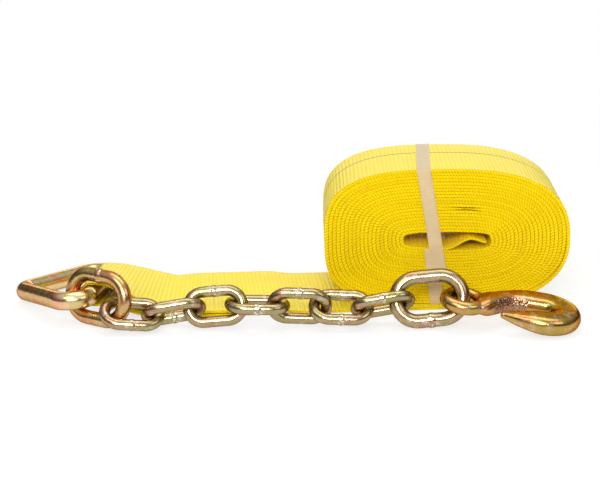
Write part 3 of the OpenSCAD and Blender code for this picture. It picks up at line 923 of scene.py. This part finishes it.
class STRAP_OT_chain(bpy.types.Operator):
    """Bend and weld the chain links, and hang each in the one before"""
    bl_idname = "strap.chain"
    bl_label = "Chain Links"

    def execute(self, context):
        layout = Layout(context.scene)
        h = layout.h
        pale = plated_steel("pale_plating", h.pale, 0.65)
        pattern = wire_link("link_pattern", h.chain_length, h.chain_width, h.chain_wire)
        for k, (pose, side) in enumerate(zip(LINK_POSES, WELD_SIDES)):
            name = f"chain_link_{k + 1}"
            obj = copy_link(pattern, name + "_wire", layout.links_at[k], pose, side)
            hand_over(obj, name, "zinc_pale", pale, name)
        bpy.data.objects.remove(pattern)
        return {"FINISHED"}


def inner_flank(h, x):
    """Where the inner side of the hook's far leg lies, at a place along the hook."""
    eye = eye_radius(h)
    shoulder = (h.hook_reach - eye) * 0.56
    return mix(-eye, h.bowl_radius - h.bowl_width / 2, ease((x - eye) / shoulder))


def hook_stations(h):
    """Sections along the hook: middle x and y, turn, width and thickness."""
    eye = eye_radius(h)
    start, reach, bowl = eye * 0.8, h.hook_reach, h.bowl_radius
    wide, thick, tip = h.bowl_width, h.hook_thickness, h.hook_tip
    neck, flare, point = eye * 0.7, (reach - start) * 0.85, bowl * 1.72
    stations = []
    for i in range(25):
        x = mix(start, reach, i / 24)
        outer = mix(eye * 1.05, bowl + wide / 2, ease((x - start) / flare))
        inner = inner_flank(h, x)
        rise = mix(h.hook_eye_bar, thick, ease((x - start) / neck))
        stations.append((x, (outer + inner) / 2, 0, outer - inner, rise))
    for i in range(1, 25):
        a = math.pi * i / 24
        stations.append((reach + bowl * math.sin(a), bowl * math.cos(a), a, wide, thick))
    for i in range(1, 17):
        t = i / 16
        taper = t ** 1.5
        stations.append((reach - point * t, -bowl + bowl * 0.13 * t ** 1.7, math.pi,
                         mix(wide, tip, taper), mix(thick, tip, taper)))
    return stations


class STRAP_OT_hook(bpy.types.Operator):
    """Forge the eye slip hook: sections bridged along its line, blended into the eye"""
    bl_idname = "strap.hook"
    bl_label = "Slip Hook"

    # how square the sections are, and how much narrower than the parting line their faces are
    square, draft = 3.4, 0.24
    # the pitted patch, coloured as a painted dark reflection, along the hook
    scale_from, scale_to = 24 * MM, 56 * MM

    def execute(self, context):
        layout = Layout(context.scene)
        h = layout.h
        stations = hook_stations(h)
        obj = self.join([self.section(context, *station) for station in stations])
        obj.name = obj.data.name = "slip_hook_forging"
        bpy.ops.object.mode_set(mode="EDIT")
        bpy.ops.mesh.select_all(action="SELECT")
        bpy.ops.mesh.bridge_edge_loops()
        bpy.ops.mesh.select_all(action="DESELECT")
        bpy.ops.mesh.select_non_manifold()
        bpy.ops.mesh.edge_face_add()
        bpy.ops.mesh.select_all(action="SELECT")
        bpy.ops.mesh.normals_make_consistent(inside=False)
        bpy.ops.object.mode_set(mode="OBJECT")
        obj = self.blend(context, h, obj, stations[-1])
        self.mark_rough_face(obj, h)
        lay(obj, layout.hook_at, HOOK_POSE)
        hand_over(obj, "slip_hook", "zinc_gold", forged_plating(h), "slip_hook")
        return {"FINISHED"}

    def section(self, context, x, y, turn, wide, thick):
        """One squarish section, with the draft of the dies: widest on the parting line."""
        bpy.ops.mesh.primitive_circle_add(vertices=32, radius=0.5, fill_type="NOTHING")
        ring = context.object
        for vert in ring.data.vertices:
            a, full = math.atan2(vert.co.y, vert.co.x), self.square
            vert.co *= (abs(math.cos(a)) ** full + abs(math.sin(a)) ** full) ** (-1 / full)
            vert.co.y *= 1 - self.draft * abs(vert.co.x)
        ring.matrix_world = (Matrix.Translation((x, y, 0)) @ Matrix.Rotation(-turn, 4, "Z")
                             @ Matrix.Rotation(math.pi / 2, 4, "Y") @ Matrix.Diagonal((thick, wide, 1, 1)))
        return ring

    def join(self, parts):
        clear_selection()
        for part in parts:
            part.select_set(True)
        bpy.context.view_layer.objects.active = parts[0]
        bpy.ops.object.join()
        bpy.ops.object.transform_apply(location=True, rotation=True, scale=True)
        return parts[0]

    def blend(self, context, h, obj, tip):
        """Joins the eye and the rounded point, and blends all three into one forging."""
        clear_selection()
        bpy.ops.mesh.primitive_torus_add(major_radius=eye_radius(h), minor_radius=h.hook_eye_bar / 2,
                                         major_segments=72, minor_segments=28)
        ring = context.object
        bpy.ops.mesh.primitive_uv_sphere_add(segments=24, ring_count=16, radius=h.hook_tip * 0.52,
                                             location=(tip[0], tip[1], 0))
        obj = self.join([obj, ring, context.object])
        skin = obj.modifiers.new("skin", "REMESH")
        skin.mode, skin.voxel_size, skin.use_smooth_shade = "VOXEL", 0.5 * MM, True
        smooth = obj.modifiers.new("smooth", "SMOOTH")
        smooth.factor, smooth.iterations = 0.5, 4
        apply_modifiers(obj)
        bpy.ops.object.shade_smooth()
        return obj

    def mark_rough_face(self, obj, h):
        """Marks the pitted patch that the dies leave on the inner flank of the far leg; its dark colour is
        a painted dark reflection.
        """
        values = []
        for vert in obj.data.vertices:
            x, y, _ = vert.co
            lengthwise = ease((x - self.scale_from) / (5 * MM)) * ease((self.scale_to - x) / (4 * MM))
            values.append(lengthwise * ease((4.5 * MM - abs(y - inner_flank(h, x))) / (2.5 * MM)))
        obj.data.attributes.new("rough_shaded_face", "FLOAT", "POINT").data.foreach_set("value", values)


class STRAP_OT_stage(bpy.types.Operator):
    """Set the floor, the soft lights and the camera"""
    bl_idname = "strap.stage"
    bl_label = "Stage"

    camera_at = (-0.1272, -1.6478, 0.4974)
    lights_aim = (-0.1, -0.05, 0.04)
    # name, place, size and power of each light
    soft_boxes = (("key_box", (-0.9, -1.3, 1.7), (1.3, 0.9), 10),
                  ("fill_box", (1.3, -1.1, 1.2), (0.9, 0.9), 5),
                  ("front_box", (-0.35, -2.5, 1.2), (1.3, 0.5), 50),
                  ("back_box", (0.0, 1.9, 0.6), (2.2, 0.6), 12),
                  ("top_box", (0.0, 0.2, 2.0), (2.0, 1.2), 14))

    def execute(self, context):
        scene = context.scene
        self.camera(scene)
        self.floor(scene)
        self.lights(scene)
        self.world(scene)
        scene.view_settings.view_transform = "Standard"
        return {"FINISHED"}

    def camera(self, scene):
        s = scene.strap_stage
        data = bpy.data.cameras.new("camera")
        data.lens, data.sensor_width, data.sensor_fit = s.lens, 36.0, "HORIZONTAL"
        data.clip_end = 50.0
        camera = bpy.data.objects.new("camera", data)
        camera.location = self.camera_at
        camera.rotation_euler = (math.pi / 2 - s.tilt, 0, 0)
        scene.collection.objects.link(camera)
        scene.camera = camera

    def floor(self, scene):
        """A pale floor that keeps its shadow and fades to white with distance."""
        clear_selection()
        bpy.ops.mesh.primitive_plane_add(size=16, location=(0, 0, -0.4 * MM))
        floor = bpy.context.object
        floor.name = "floor"
        bpy.ops.object.transform_apply(location=True)
        material = bpy.data.materials.new("white_sweep")
        material.use_nodes = True
        material.node_tree.nodes.clear()
        graph = Graph(material.node_tree)
        matt = graph.add("ShaderNodeBsdfDiffuse", Color=(*scene.strap_stage.floor, 1))
        glow = graph.add("ShaderNodeEmission", Color=(1, 1, 1, 1), Strength=1.0)
        path = graph.add("ShaderNodeLightPath").outputs
        seen = graph.math("MAXIMUM", path["Is Glossy Ray"], path["Is Transmission Ray"])
        seen = graph.math("MAXIMUM", path["Is Camera Ray"], seen)
        away = graph.add("ShaderNodeVectorMath", operation="LENGTH")
        graph.join(graph.object_place(), away.inputs[0])
        fade = graph.rescale(away.outputs["Value"], 0.4, 0.9, 1.0, 0.72)
        mixer = graph.add("ShaderNodeMixShader")
        for socket, value in zip(mixer.inputs, (graph.math("MULTIPLY", seen, fade), matt.outputs[0],
                                                glow.outputs[0])):
            graph.join(value, socket)
        out = graph.add("ShaderNodeOutputMaterial")
        graph.join(mixer.outputs[0], out.inputs["Surface"])
        floor.data.materials.append(material)

    def lights(self, scene):
        for name, at, size, power in self.soft_boxes:
            data = bpy.data.lights.new(name, "AREA")
            data.shape, data.size, data.size_y, data.energy = "RECTANGLE", size[0], size[1], power
            lamp = bpy.data.objects.new(name, data)
            lamp.location = at
            aim = Vector(self.lights_aim) - Vector(at)
            lamp.rotation_euler = aim.to_track_quat("-Z", "Y").to_euler()
            scene.collection.objects.link(lamp)

    def world(self, scene):
        """Dark at the floor and pale overhead, for the plating to mirror."""
        world = bpy.data.worlds.new("studio")
        world.use_nodes = True
        scene.world = world
        graph = Graph(world.node_tree)
        split = graph.add("ShaderNodeSeparateXYZ")
        graph.join(graph.add("ShaderNodeTexCoord").outputs["Generated"], split.inputs[0])
        sky = graph.ramp(split.outputs["Z"], (0.0, (0.05, 0.045, 0.04)), (0.3, (0.14, 0.13, 0.12)),
                         (0.8, (0.75, 0.75, 0.75)))
        back = world.node_tree.nodes["Background"]
        graph.join(sky, back.inputs["Color"])
        back.inputs["Strength"].default_value = 0.8


class STRAP_PT_panel(bpy.types.Panel):
    """Lists the strap's pieces in the sidebar"""
    bl_label = "Cargo Strap"
    bl_idname = "STRAP_PT_panel"
    bl_space_type = "VIEW_3D"
    bl_region_type = "UI"
    bl_category = "Cargo Strap"

    def draw(self, context):
        for operator in OPERATORS:
            self.layout.operator(operator.bl_idname)


SETTINGS = (("strap_webbing", StrapWebbingSettings), ("strap_hardware", StrapHardwareSettings),
            ("strap_stage", StrapStageSettings))
OPERATORS = (STRAP_OT_stage, STRAP_OT_webbing, STRAP_OT_band, STRAP_OT_ring, STRAP_OT_couplings,
             STRAP_OT_chain, STRAP_OT_hook)
CLASSES = tuple(settings for _, settings in SETTINGS) + OPERATORS + (STRAP_PT_panel,)


def register():
    for cls in CLASSES:
        bpy.utils.register_class(cls)
    for name, settings in SETTINGS:
        setattr(bpy.types.Scene, name, PointerProperty(type=settings))


def unregister():
    for name, _ in SETTINGS:
        delattr(bpy.types.Scene, name)
    for cls in reversed(CLASSES):
        bpy.utils.unregister_class(cls)


def main():
    register()
    bpy.ops.strap.stage()
    bpy.ops.strap.webbing()
    bpy.ops.strap.band()
    bpy.ops.strap.ring()
    bpy.ops.strap.couplings()
    bpy.ops.strap.chain()
    bpy.ops.strap.hook()


if __name__ == "__main__":
    main()
